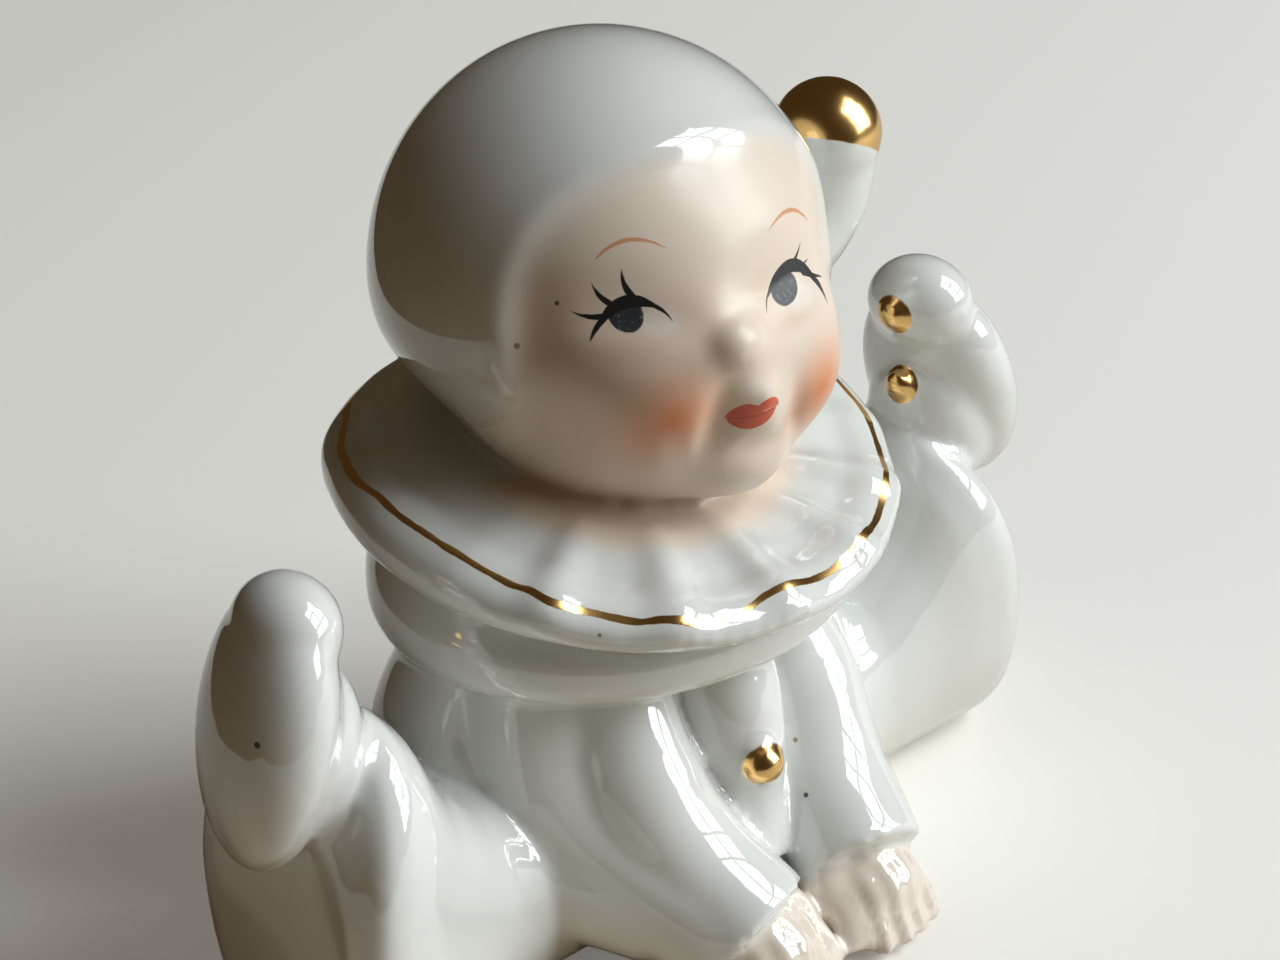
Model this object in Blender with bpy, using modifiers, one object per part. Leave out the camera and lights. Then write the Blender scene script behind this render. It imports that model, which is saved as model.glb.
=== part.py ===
"""Porcelain pierrot figurine: a doll-faced clown in a hood and ruff, sitting with its legs spread wide.

The figurine faces -Y, its left hand is at +X, and it sits on the plane z = 0. It is one slip-cast
piece, so every form below is fused into one solid. Metres, +Z up.
"""

import math

import bmesh
import bpy
from mathutils import Matrix, Vector

# The one driving size, from the table to the crown of the hood
FIGURE_HEIGHT = 0.0862

# A figure keeps its pose and carving as shares of its own height, which is this many shares
SHARES_TALL = 86.2
SHARE = FIGURE_HEIGHT / SHARES_TALL

# How finely the forms are fused, how much the glaze softens them, and how many faces are left
FUSING_GRAIN = 0.62 * SHARE
GLAZE_SOFTENING_STEPS = 7
FACE_SHARE_KEPT = 0.054

# Where the head sits and how it is turned: to the figure's right, looking up
HEAD_CENTRE = (-0.4, 2.9, 64.2)
HEAD_RADII = (21.3, 21.5, 22.0)
HEAD_YAW, HEAD_LOOK_UP = -14.0, 8.0

# The ruff is tipped forward on the shoulders
RUFF_CENTRE = (0.0, 2.0, 47.3)
RUFF_TIP_FORWARD = 14.7
RUFF_PLEATS = 20

# The trouser legs are rounder than boxes and boxier than circles; 2 would be a circle
LEG_SQUARENESS = 2.5

# The legs reach this far below the resting plane, which is then cut level
FOOTPRINT_CUT = 0.8
CUTTER_SPAN = 200 * SHARE

PORCELAIN_WHITE = (0.86, 0.87, 0.85, 1.0)

finished = bpy.data.collections.new("pierrot_figurine")
cutters = bpy.data.collections.new("cutters")


def clear_scene():
    for old in list(bpy.data.objects):
        bpy.data.objects.remove(old)
    for collection in (finished, cutters):
        bpy.context.scene.collection.children.link(collection)


def turned(yaw=0.0, pitch=0.0, roll=0.0):
    """A rotation in degrees: roll about Y first, then pitch about X, then yaw about Z."""
    angles = [math.radians(a) for a in (pitch, roll, yaw)]
    return (
        Matrix.Rotation(angles[2], 4, "Z")
        @ Matrix.Rotation(angles[0], 4, "X")
        @ Matrix.Rotation(angles[1], 4, "Y")
    )


def bump(x, z, at, spread):
    """A smooth hill, 1 at its top, over the flat picture of the face."""
    dx = (x - at[0]) / spread[0]
    dz = (z - at[1]) / spread[1]
    return math.exp(-(dx * dx + dz * dz))


def ellipsoid(name, centre, radii, turn=None, segments=48):
    """A sphere primitive stretched to three radii, turned, and put at its centre, all in shares."""
    bpy.ops.mesh.primitive_uv_sphere_add(segments=segments, ring_count=segments // 2, radius=1)
    form = bpy.context.object
    form.name = name
    stretch = Matrix.Diagonal((*(r * SHARE for r in radii), 1))
    place = Matrix.Translation(Vector(centre) * SHARE)
    form.data.transform(place @ (turn or Matrix.Identity(4)) @ stretch)
    return form


def limb(name, stations, flatten=(1.0, 1.0, 1.0)):
    """A round, tapering form through stations of (x, y, z, radius), as a curve made a mesh.

    flatten squeezes it along X, Y and Z about its first station.
    """
    curve = bpy.data.curves.new(name, "CURVE")
    curve.dimensions = "3D"
    curve.bevel_depth = SHARE
    curve.bevel_resolution = 6
    curve.use_fill_caps = True
    curve.resolution_u = 8
    spline = curve.splines.new("BEZIER")
    spline.bezier_points.add(len(stations) - 1)
    for point, (x, y, z, radius) in zip(spline.bezier_points, stations):
        point.co = Vector((x, y, z)) * SHARE
        point.radius = radius
        point.handle_left_type = point.handle_right_type = "AUTO"
    helper = bpy.data.objects.new(name, curve)
    bpy.context.scene.collection.objects.link(helper)
    bpy.context.view_layer.update()
    graph = bpy.context.evaluated_depsgraph_get()
    mesh = bpy.data.meshes.new_from_object(helper.evaluated_get(graph))
    bpy.data.objects.remove(helper)
    closed = bmesh.new()
    closed.from_mesh(mesh)
    bmesh.ops.remove_doubles(closed, verts=closed.verts, dist=1e-6)
    bmesh.ops.recalc_face_normals(closed, faces=closed.faces)
    closed.to_mesh(mesh)
    closed.free()
    start = Vector(stations[0][:3]) * SHARE
    squeeze = Matrix.Diagonal((*flatten, 1))
    mesh.transform(Matrix.Translation(start) @ squeeze @ Matrix.Translation(-start))
    form = bpy.data.objects.new(name, mesh)
    bpy.context.scene.collection.objects.link(form)
    return form


def head_relief(x, z):
    """How far the face stands out from the round of the head, at (x, z) of its front, in shares."""
    full_face = 2.3 * bump(x, z, (1.0, -10.5), (13.5, 8.0))
    cheeks = 1.0 * bump(x, z, (-10.4, -8.6), (4.6, 4.8)) + 1.8 * bump(x, z, (12.8, -10.8), (5.2, 6.0))
    brows = 0.5 * bump(x, z, (0, 8.5), (9.0, 4.0))
    sockets = sum(-1.4 * bump(x, z, (side * 7.8 - 0.6, 1.6), (4.8, 3.4)) for side in (-1, 1))
    temples = sum(-1.6 * bump(x, z, (side * 18.6 + 0.4, 1.2), (4.0, 6.0)) for side in (-1, 1))
    bridge = 0.7 * bump(x, z, (-0.6, 1.5), (2.2, 3.4))
    nostrils = 0.8 * bump(x, z, (-0.5, -3.4), (3.6, 2.0))
    muzzle = 0.8 * bump(x, z, (0.6, -9.6), (4.2, 3.4))
    creases = sum(-0.9 * bump(x, z, (0.6 + side * 4.8, -9.2), (1.4, 3.8)) for side in (-1, 1))
    chin = 2.4 * bump(x, z, (3.2, -16.8), (7.0, 3.8)) - 0.6 * bump(x, z, (1.4, -13.0), (3.6, 1.2))
    return (
        full_face + cheeks + brows + sockets + temples + bridge + nostrils + muzzle + creases + chin
    )


def hood_step(x, z):
    """1 on the hood and 0 in the face opening, with a soft edge: the opening is a tall arch."""
    across = abs(x - 1.2) / 17.8
    up = max(z + 3.0, 0.0) / 16.6
    reach = (across**2.6 + up**2.6) ** (1 / 2.6)
    return 1 / (1 + math.exp(-(reach - 1) * 26))


def eased(t):
    """Runs from 0 to 1 without a corner at either end."""
    t = max(0.0, min(1.0, t))
    return t * t * (3 - 2 * t)


def head():
    """The hooded head: a ball drawn in towards the neck, its front pushed out and in by the face."""
    ball = ellipsoid("head", (0, 0, 0), HEAD_RADII, segments=160)
    for vertex in ball.data.vertices:
        x, y, z = vertex.co / SHARE
        neck = 1 - 0.07 * eased((-z - 2.0) / 10.0)
        vertex.co.x = (x * neck + 1.7 * eased((-z + 2.0) / 16.0)) * SHARE
        vertex.co.y *= neck
        if y < 0:
            front = min(1.0, -y / 9.0)
            hood = hood_step(x, z)
            edge = 0.45 * math.exp(-(((hood - 0.8) / 0.2) ** 2)) - 0.5 * (1 - hood)
            lift = head_relief(x, z) * (1 - 0.85 * hood) + edge
            vertex.co += vertex.co.normalized() * lift * front * SHARE
    nose = ellipsoid("nose", (0.2, -22.3, -2.5), (2.5, 2.5, 2.3), segments=32)
    turn = turned(HEAD_YAW, -HEAD_LOOK_UP)
    for form in (ball, nose):
        form.data.transform(Matrix.Translation(Vector(HEAD_CENTRE) * SHARE) @ turn)
    return [ball, nose]


def hood_tail():
    """The hood's tail leaves the left of the head, turns up and ends in a ball."""
    stations = (
        (13.0, 6.4, 57.4, 5.5),
        (23.2, 4.3, 57.6, 5.5),
        (27.8, 2.7, 61.4, 5.1),
        (28.8, 1.9, 65.6, 5.0),
        (28.7, 1.5, 69.2, 5.0),
    )
    return [limb("hood_tail", stations), ellipsoid("ball", (28.7, 1.5, 69.3), (5.4, 5.4, 5.4))]


def ruff():
    """The pleated top layer of the ruff, tipped forward, and the plain level layer under it."""
    top = turned_ring(
        "ruff",
        (
            (9.0, -0.2),
            (14.0, 0.4),
            (20.0, 0.6),
            (25.4, 0.3),
            (26.9, -0.6),
            (27.5, -2.0),
            (27.3, -3.8),
            (26.4, -5.2),
            (23.6, -6.0),
            (15.0, -6.4),
            (9.0, -6.4),
        ),
    )
    for vertex in top.data.vertices:
        pleat(vertex)
    tip = Matrix.Rotation(math.radians(RUFF_TIP_FORWARD), 4, "X")
    top.data.transform(Matrix.Translation(Vector(RUFF_CENTRE) * SHARE) @ tip)
    under = turned_ring(
        "under_ruff",
        (
            (9.0, 6.0),
            (22.0, 5.4),
            (24.4, 3.4),
            (25.9, 0.6),
            (26.0, -2.0),
            (25.2, -4.0),
            (22.8, -5.2),
            (9.0, -6.0),
        ),
    )
    for vertex in under.data.vertices:
        vertex.co.z += 0.035 * max(0.0, vertex.co.z / SHARE) * vertex.co.y
    tip = Matrix.Rotation(math.radians(2.0), 4, "X")
    oval = Matrix.Diagonal((1.0, 0.84, 1.0, 1.0))
    under.data.transform(Matrix.Translation(Vector((0, 1.8, 36.6)) * SHARE) @ tip @ oval)
    return [top, under]


def turned_ring(name, profile):
    """A closed drum, turned from a profile of (radius, height) points."""
    mesh = bpy.data.meshes.new(name)
    mesh.from_pydata(
        [(r * SHARE, 0, h * SHARE) for r, h in profile],
        [(i, i + 1) for i in range(len(profile) - 1)],
        [],
    )
    helper = bpy.data.objects.new(name, mesh)
    bpy.context.scene.collection.objects.link(helper)
    spin = helper.modifiers.new("turn", "SCREW")
    spin.steps = spin.render_steps = 160
    spin.use_merge_vertices = True
    spin.merge_threshold = 0.00001
    smooth = helper.modifiers.new("round", "SUBSURF")
    smooth.levels = smooth.render_levels = 1
    graph = bpy.context.evaluated_depsgraph_get()
    drum = bpy.data.meshes.new_from_object(helper.evaluated_get(graph))
    bpy.data.objects.remove(helper)
    closed = bmesh.new()
    closed.from_mesh(drum)
    bmesh.ops.remove_doubles(closed, verts=closed.verts, dist=1e-6)
    bmesh.ops.holes_fill(closed, edges=closed.edges)
    bmesh.ops.recalc_face_normals(closed, faces=closed.faces)
    closed.to_mesh(drum)
    closed.free()
    form = bpy.data.objects.new(name, drum)
    bpy.context.scene.collection.objects.link(form)
    return form


def pleat(vertex):
    """Moves one point of the ruff: thinner in front, dished behind, and waved towards the edge."""
    x, y, h = vertex.co / SHARE
    radius = math.hypot(x, y)
    angle = math.atan2(x, -y)
    back = max(0.0, y - 16.0)
    if h < 0:
        vertex.co.z *= 1 + 0.36 * y / 26
    else:
        vertex.co.z -= 0.8 * eased(y / 14) * eased((25.5 - radius) / 5) * SHARE
    vertex.co.y -= 0.4 * back * SHARE
    vertex.co.z -= 0.1 * back * SHARE
    edge = max(0.0, min(1.0, (radius - 11.0) / 15.0))
    in_front = 0.45 + 0.55 * max(0.0, math.cos(angle / 2)) ** 2
    wave = math.cos(RUFF_PLEATS * angle + 0.8 * math.sin(3 * angle))
    vertex.co.x += 0.35 * wave * edge * in_front * x / radius * SHARE
    vertex.co.y += 0.35 * wave * edge * in_front * y / radius * SHARE
    if h > -4.5:
        vertex.co.z += 0.38 * wave * edge * in_front * SHARE


def torso():
    """The blouse: a full, rounded trunk whose front shows between the sleeves as a narrow bulge."""
    trunk = ellipsoid("trunk", (0, 2.4, 19.0), (16.5, 15.4, 24.0))
    seat = ellipsoid("seat", (0, 4.0, 7.5), (19.0, 15.0, 11.5))
    stations = (
        (0.6, -9.0, 40.0, 5.4),
        (0.8, -11.4, 32.0, 5.6),
        (0.8, -12.6, 25.0, 5.4),
        (0.6, -13.0, 19.0, 4.6),
        (0.2, -15.4, 12.6, 2.8),
        (0, -17.4, 8.6, 1.6),
    )
    return [trunk, seat, limb("placket", stations)]


def arm(side):
    """A wide sleeve, oval in section from its front crest back to the elbow, and cut off straight."""
    front = (
        (side * 10.6, -3.4, 40.0, 5.6),
        (side * 10.6, -7.4, 27.0, 5.7),
        (side * 11.2, -10.8, 20.0, 6.3),
        (side * 9.6, -15.4, 12.2, 6.6),
        (side * 7.5, -22.2, 6.5, 6.8),
    )
    middle = (
        (side * 13.0, 0.0, 39.0, 6.6),
        (side * 14.6, -1.6, 27.0, 7.6),
        (side * 15.0, -4.0, 19.0, 8.0),
        (side * 12.2, -11.6, 12.0, 7.2),
        (side * 9.0, -20.6, 6.8, 6.4),
    )
    elbow = (
        (side * 13.0, 3.2, 39.0, 6.4),
        (side * 16.6, 4.8, 29.0, 7.4),
        (side * 18.8, 4.6, 20.0, 8.8),
        (side * 16.6, -4.0, 12.8, 7.8),
        (side * 11.4, -15.6, 8.4, 6.4),
    )
    return [limb("sleeve", front), limb("sleeve_side", middle), limb("sleeve_elbow", elbow)]


def hand(side):
    """A small hand palm down on the table, its fingers side by side."""
    palm = ellipsoid("palm", (side * 7.4, -24.0, 5.0), (5.2, 4.6, 4.2))
    fingers = []
    for i in range(4):
        spread = side * (3.2 + 2.3 * i)
        reach = -29.2 + 0.45 * abs(i - 1.2)
        stations = (
            (side * 7.4 + (spread - side * 7.4) * 0.8, -24.4, 6.0, 1.5),
            (spread, reach + 1.8, 3.9, 1.4),
            (spread + side * 0.25, reach, 0.7, 1.2),
        )
        fingers.append(limb("finger", stations))
    return [palm, *fingers]


def trouser_leg(side):
    """A leg laid out sideways on the table, flaring to a wide hem that leans in at the top.

    It starts as a sphere; each slice across X is given its own front, back and height.
    """
    slices = (
        (0.0, -11.0, 14.0, 18.0),
        (12.0, -11.4, 13.0, 20.0),
        (20.0, -10.6, 11.0, 19.6),
        (26.0, -10.6, 10.8, 22.0),
        (32.0, -11.6, 11.6, 27.5),
        (37.0, -12.8, 12.4, 33.0),
        (41.0, -13.4, 13.0, 36.0),
        (43.6, -13.2, 13.0, 35.4),
        (44.8, -11.6, 11.6, 32.0),
        (45.2, -9.6, 9.6, 29.0),
    )
    form = ellipsoid("trouser_leg", (0, 0, 0), (1, 1, 1), turned(0, 0, 90), segments=96)
    for vertex in form.data.vertices:
        x, y, z = vertex.co / SHARE
        along = (math.degrees(math.asin(max(-1.0, min(1.0, x)))) + 90) / 180
        reach = along * slices[-1][0]
        front, back, height = slice_at(slices, reach)
        ring = max(math.hypot(y, z), 1e-6)
        close = min(1.0, ring * 12.0)
        across = math.copysign(abs(y / ring) ** (2 / LEG_SQUARENESS), y)
        up = math.copysign(abs(z / ring) ** (2 / LEG_SQUARENESS), z)
        top = (1 + up * close) * (height + FOOTPRINT_CUT) / 2 - FOOTPRINT_CUT
        lean_in = 0.012 * max(0.0, top - 15.0) ** 2 * eased((reach - 16.0) / 22.0)
        vertex.co.x = side * (reach - lean_in) * SHARE
        vertex.co.y = ((front + back) / 2 + across * close * (back - front) / 2) * SHARE
        vertex.co.z = top * SHARE
    if side < 0:
        form.data.flip_normals()
    return form


def slice_at(slices, reach):
    """Front, back and height of the trouser leg at a distance from the middle, between slices."""
    for low, high in zip(slices, slices[1:]):
        if reach <= high[0]:
            t = (reach - low[0]) / (high[0] - low[0])
            return [a + (b - a) * t for a, b in zip(low[1:], high[1:])]
    return slices[-1][1:]


def shoe(side, centre, lean, toe_height):
    """A soft shoe standing on its heel, sole outwards, with a curled toe and two buttons."""
    turn = turned(side * 12.0) @ Matrix.Rotation(math.radians(-side * lean), 4, "Y")
    ankle = Matrix.Translation(Vector(centre) * SHARE)
    forms = [
        ellipsoid("shoe", (0, 0, 0), (5.4, 8.4, 13.6)),
        ellipsoid("toe", (-side * 0.6, 0, toe_height), (4.7, 5.6, 4.8)),
        ellipsoid("instep", (-side * 3.4, 0, -2.6), (5.2, 6.6, 9.0)),
    ]
    for height, out in ((toe_height + 2.0, 4.6), (toe_height - 6.5, 5.6)):
        forms.append(ellipsoid("shoe_button", (-side * out, 1.6, height), (1.0, 1.5, 1.7), segments=24))
    for form in forms:
        form.data.transform(ankle @ turn)
    return forms


def chest_button():
    return ellipsoid("chest_button", (0.4, -17.5, 20.0), (1.75, 1.1, 1.75), segments=24)


def fuse(forms):
    """Joins the forms, melts them into one skin, softens it as the glaze does, and thins its faces."""
    bpy.ops.object.select_all(action="DESELECT")
    for form in forms:
        form.select_set(True)
    bpy.context.view_layer.objects.active = forms[0]
    bpy.ops.object.join()
    figure = bpy.context.object
    melt = figure.modifiers.new("melt", "REMESH")
    melt.mode = "VOXEL"
    melt.voxel_size = FUSING_GRAIN
    soften = figure.modifiers.new("soften", "SMOOTH")
    soften.factor = 0.5
    soften.iterations = GLAZE_SOFTENING_STEPS
    thin = figure.modifiers.new("thin", "DECIMATE")
    thin.ratio = FACE_SHARE_KEPT
    thin.use_collapse_triangulate = True
    return figure


def stand_flat(figure):
    """Slices the underside off level, so that the figurine rests on flat ground."""
    bpy.ops.mesh.primitive_cube_add(size=CUTTER_SPAN, location=(0, 0, -CUTTER_SPAN / 2))
    below = bpy.context.object
    below.name = "table_cutter"
    below.hide_render = True
    below.display_type = "WIRE"
    move_to(cutters, below)
    cut = figure.modifiers.new("stand_flat", "BOOLEAN")
    cut.operation = "DIFFERENCE"
    cut.object = below


def move_to(collection, form):
    for old in list(form.users_collection):
        old.objects.unlink(form)
    collection.objects.link(form)


def porcelain():
    material = bpy.data.materials.new("glazed_porcelain")
    material.use_nodes = True
    shader = material.node_tree.nodes["Principled BSDF"]
    shader.inputs["Base Color"].default_value = PORCELAIN_WHITE
    shader.inputs["Roughness"].default_value = 0.08
    shader.inputs["Metallic"].default_value = 0.0
    return material


def build():
    clear_scene()
    forms = [*head(), *hood_tail(), *ruff(), *torso(), chest_button()]
    for side in (-1, 1):
        forms += [*arm(side), *hand(side), trouser_leg(side)]
    forms += shoe(-1, (-44.6, -0.6, 37.0), 12.0, 9.4)
    forms += shoe(1, (44.0, -1.0, 38.6), 22.0, 11.6)
    figure = fuse(forms)
    figure.name = figure.data.name = "pierrot_figurine"
    figure.data.materials.clear()
    figure.data.materials.append(porcelain())
    move_to(finished, figure)
    stand_flat(figure)


build()
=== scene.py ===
# %% [markdown]
# # A porcelain pierrot, modelled and glazed
# The real object is a slip-cast ornament, about 86 mm tall: a doll in a hood and a ruff that sits with
# its legs spread, soles outwards. It was cast in one, dipped in clear glaze, painted with a fine brush
# and gilded. This lesson models it again in one skin, softer and finer than the frame's solid, and then
# paints it with nodes. Everything is in metres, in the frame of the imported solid.

# %% Load the frame
import math

import bmesh
import bpy
from mathutils import Matrix, Vector


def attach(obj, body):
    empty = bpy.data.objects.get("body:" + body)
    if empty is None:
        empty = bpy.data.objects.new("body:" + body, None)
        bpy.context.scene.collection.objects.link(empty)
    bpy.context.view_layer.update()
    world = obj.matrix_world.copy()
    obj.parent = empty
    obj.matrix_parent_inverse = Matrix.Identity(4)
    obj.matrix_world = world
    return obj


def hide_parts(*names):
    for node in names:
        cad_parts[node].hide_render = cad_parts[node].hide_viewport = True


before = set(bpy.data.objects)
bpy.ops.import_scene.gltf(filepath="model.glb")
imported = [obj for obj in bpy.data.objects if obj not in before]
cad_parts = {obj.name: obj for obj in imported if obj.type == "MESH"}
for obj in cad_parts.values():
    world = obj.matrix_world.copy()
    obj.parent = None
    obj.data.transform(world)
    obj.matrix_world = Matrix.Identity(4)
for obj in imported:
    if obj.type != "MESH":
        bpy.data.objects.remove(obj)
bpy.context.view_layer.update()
MM = 0.001

# %% [markdown]
# ## Small helpers
# Most forms of a figurine are soft lumps and tapering tubes. A lump starts as a sphere primitive that is
# stretched and turned. A tube is a Bezier curve whose points carry a radius, converted to a mesh. Both
# are closed, so that they can be melted together later.


# %% Lumps
def deselect():
    bpy.ops.object.select_all(action="DESELECT")


def lump(name, centre, radii, turn=(0.0, 0.0, 0.0), segments=64):
    """A sphere primitive at its size, turn in degrees and place, in mm."""
    deselect()
    bpy.ops.mesh.primitive_uv_sphere_add(
        segments=segments,
        ring_count=segments // 2,
        radius=MM,
        location=Vector(centre) * MM,
        rotation=[math.radians(a) for a in turn],
        scale=radii,
    )
    form = bpy.context.object
    form.name = name
    bpy.ops.object.transform_apply(location=True, rotation=True, scale=True)
    return form


# %% [markdown]
# Two curves come back all through the lesson: a hill, for relief that rises and falls without an edge,
# and an easing curve, for a soft change from one state to another. Both are plain functions, because a
# value from 0 to 1 can steer a shape as well as a colour.


# %% A hill and an easing curve
def bump(x, z, at, spread):
    """A smooth hill, 1 at its top, over the flat picture of the face."""
    dx = (x - at[0]) / spread[0]
    dz = (z - at[1]) / spread[1]
    return math.exp(-(dx * dx + dz * dz))


def eased(t):
    """Runs from 0 to 1 without a corner at either end."""
    t = max(0.0, min(1.0, t))
    return t * t * (3 - 2 * t)


# %% [markdown]
# Sleeves, fingers and the hood's tail are tubes that change in thickness. A curve with a round bevel
# draws one from a few stations. The later melt needs closed meshes, so the curve is converted, its
# doubled points are merged and its faces are turned outwards.


# %% Tubes
def close_up(form):
    """Merges doubled points and turns the faces outwards, in edit mode."""
    bpy.context.view_layer.objects.active = form
    bpy.ops.object.mode_set(mode="EDIT")
    bpy.ops.mesh.select_all(action="SELECT")
    bpy.ops.mesh.remove_doubles(threshold=0.000001)
    bpy.ops.mesh.normals_make_consistent(inside=False)
    bpy.ops.object.mode_set(mode="OBJECT")


def tube(name, stations):
    """A round tapering tube through (x, y, z, radius) stations in mm, with closed ends."""
    deselect()
    bpy.ops.curve.primitive_bezier_curve_add(location=(0, 0, 0))
    helper = bpy.context.object
    curve = helper.data
    points = curve.splines[0].bezier_points
    points.add(len(stations) - len(points))
    for point, (x, y, z, radius) in zip(points, stations):
        point.co = Vector((x, y, z)) * MM
        point.radius = radius
        point.handle_left_type = point.handle_right_type = "AUTO"
    curve.bevel_depth = MM
    curve.bevel_resolution = 10
    curve.resolution_u = 10
    curve.use_fill_caps = True
    bpy.ops.object.convert(target="MESH")
    form = bpy.context.object
    form.name = name
    close_up(form)
    return form


# %% [markdown]
# ## The head
# The hooded head is nearly a ball. Its front carries a doll's face: full cheeks, a button nose, a short
# upper lip, and shallow sockets that the painted eyes sit in. The relief could be sculpted by brush;
# here each form is a smooth hill over the flat picture of the face, so that its place and height are
# named and can be tuned one by one. The hood is a second skin round the face, with a soft edge.

# %% The face's relief
HEAD_CENTRE = (-0.4, 2.9, 64.2)
HEAD_RADII = (21.3, 21.5, 22.0)
HEAD_YAW = -14.0
HEAD_LOOK_UP = 8.0
HEAD_TURN = Matrix.Rotation(math.radians(HEAD_YAW), 4, "Z") @ Matrix.Rotation(
    math.radians(-HEAD_LOOK_UP), 4, "X"
)
HEAD_PLACE = Matrix.Translation(Vector(HEAD_CENTRE) * MM) @ HEAD_TURN


def head_relief(x, z):
    """How far the face stands out from the round of the head, in mm, at (x, z) of its front."""
    full_face = 2.2 * bump(x, z, (1.0, -10.5), (13.5, 8.0))
    near_cheek = 1.5 * bump(x, z, (-7.2, -6.0), (5.6, 5.6))
    far_cheek = 1.9 * bump(x, z, (12.6, -10.6), (4.8, 5.6))
    brows = 0.4 * bump(x, z, (0, 8.5), (9.0, 4.0))
    sockets = sum(-1.0 * bump(x, z, (side * 7.8 - 0.6, 2.0), (4.4, 2.4)) for side in (-1, 1))
    lids = sum(0.35 * bump(x, z, (side * 7.6 - 0.5, 2.9), (3.6, 0.9)) for side in (-1, 1))
    bags = sum(-0.25 * bump(x, z, (side * 7.8, -2.4), (3.6, 1.0)) for side in (-1, 1))
    temples = sum(-1.6 * bump(x, z, (side * 18.6 + 0.4, 1.2), (4.0, 6.0)) for side in (-1, 1))
    bridge = 0.35 * bump(x, z, (-1.0, 0.8), (2.4, 1.8))
    nostrils = 1.3 * bump(x, z, (0.0, -2.9), (4.0, 2.3))
    muzzle = 1.1 * bump(x, z, (1.9, -9.4), (3.6, 3.4))
    pad = 1.1 * bump(x, z, (1.7, -6.7), (1.5, 1.2))
    lips = 0.4 * bump(x, z, (2.1, -9.2), (2.2, 0.9))
    creases = -1.35 * bump(x - 0.16 * (z + 8.0), z, (-2.3, -8.4), (1.1, 3.6))
    creases -= 1.0 * bump(x + 0.2 * (z + 11.0), z, (6.9, -11.0), (1.1, 3.2))
    chin = 2.5 * bump(x, z, (3.4, -16.2), (6.0, 3.6)) - 1.0 * bump(x, z, (2.3, -12.2), (3.0, 1.1))
    hills = (full_face, near_cheek, far_cheek, brows, sockets, lids, bags, temples)
    return sum(hills + (bridge, nostrils, muzzle, pad, lips, creases, chin))


def hood_step(x, z):
    """1 on the hood and 0 in the face opening, with a soft edge: the opening is a tall arch."""
    across = abs(x - 1.2) / 17.8
    up = max(z + 3.0, 0.0) / 16.6
    reach = (across**2.6 + up**2.6) ** (1 / 2.6)
    return 1 / (1 + math.exp(-(reach - 1) * 26))


# %% [markdown]
# The ball is drawn in towards the neck, and each point of its front is pushed out along its own
# direction by the relief. The hood flattens the relief under it, and its edge stands a little proud.

# %% Shape the head
NECK_TAPER = 0.07
JAW_SWING = 1.7
HOOD_EDGE = 0.45
FACE_INSET = 0.5
UNDER_HOOD = 0.85


def shape_head():
    """A ball drawn in towards the neck, its front pushed out and in by the face."""
    ball = lump("head", (0, 0, 0), HEAD_RADII, segments=200)
    for vertex in ball.data.vertices:
        x, y, z = vertex.co / MM
        neck = 1 - NECK_TAPER * eased((-z - 2.0) / 10.0)
        vertex.co.x = (x * neck + JAW_SWING * eased((-z + 2.0) / 16.0)) * MM
        vertex.co.y *= neck
        if y < 0:
            front = min(1.0, -y / 9.0)
            hood = hood_step(x, z)
            edge = HOOD_EDGE * math.exp(-(((hood - 0.8) / 0.2) ** 2)) - FACE_INSET * (1 - hood)
            lift = head_relief(x, z) * (1 - UNDER_HOOD * hood) + edge
            vertex.co += vertex.co.normalized() * lift * front * MM
    nose = lump("nose", (0.3, -21.4, -2.3), (3.0, 2.7, 2.6), segments=32)
    for form in (ball, nose):
        form.data.transform(HEAD_PLACE)
    return [ball, nose]


forms = shape_head()
print("head", len(forms[0].data.vertices), "points")

# %% [markdown]
# The hood's tail leaves the left of the head, bends up and ends in a ball that will be gilded. A tube
# with five stations follows the bend, and a lump ends it.

# %% The hood's tail
BALL_CENTRE = (28.7, 1.5, 69.3)
BALL_RADIUS = 5.4
forms.append(
    tube(
        "hood_tail",
        (
            (13.0, 6.4, 57.4, 5.5),
            (23.2, 4.3, 57.6, 5.5),
            (27.8, 2.7, 61.4, 5.1),
            (28.8, 1.9, 65.6, 5.0),
            (28.7, 1.5, 69.2, 5.0),
        ),
    )
)
forms.append(lump("ball", BALL_CENTRE, (BALL_RADIUS,) * 3))
print("tail and ball up to", round(max(v.co.z for v in forms[-1].data.vertices) / MM, 1), "mm")

# %% [markdown]
# ## The ruff
# A ruff is a turned form first and a pleated one second. Its profile is drawn as a chain of edges and
# spun once round, then the points near the rim are moved up and down by the pleats. The pleats of the
# real one are hand-cut and uneven: broad and deep in front, hardly there at the sides and the back.

# %% Spin a profile
SPIN_STEPS = 240


def spun_ring(name, profile):
    """A closed drum, spun in edit mode from a profile of (radius, height) points in mm."""
    deselect()
    bpy.ops.mesh.primitive_plane_add(size=MM, location=(0, 0, 0))
    form = bpy.context.object
    form.name = name
    sketch = bmesh.new()
    points = [sketch.verts.new((r * MM, 0, h * MM)) for r, h in profile]
    for low, high in zip(points, points[1:]):
        sketch.edges.new((low, high))
    sketch.to_mesh(form.data)
    sketch.free()
    bpy.ops.object.mode_set(mode="EDIT")
    bpy.ops.mesh.select_all(action="SELECT")
    bpy.ops.mesh.subdivide(number_cuts=2, smoothness=0.3)
    bpy.ops.mesh.spin(
        steps=SPIN_STEPS, angle=math.tau, center=(0, 0, 0), axis=(0, 0, 1), use_normal_flip=False
    )
    bpy.ops.mesh.select_all(action="SELECT")
    bpy.ops.mesh.remove_doubles(threshold=0.000002)
    bpy.ops.mesh.fill_holes(sides=0)
    bpy.ops.mesh.normals_make_consistent(inside=False)
    bpy.ops.object.mode_set(mode="OBJECT")
    return form


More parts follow.
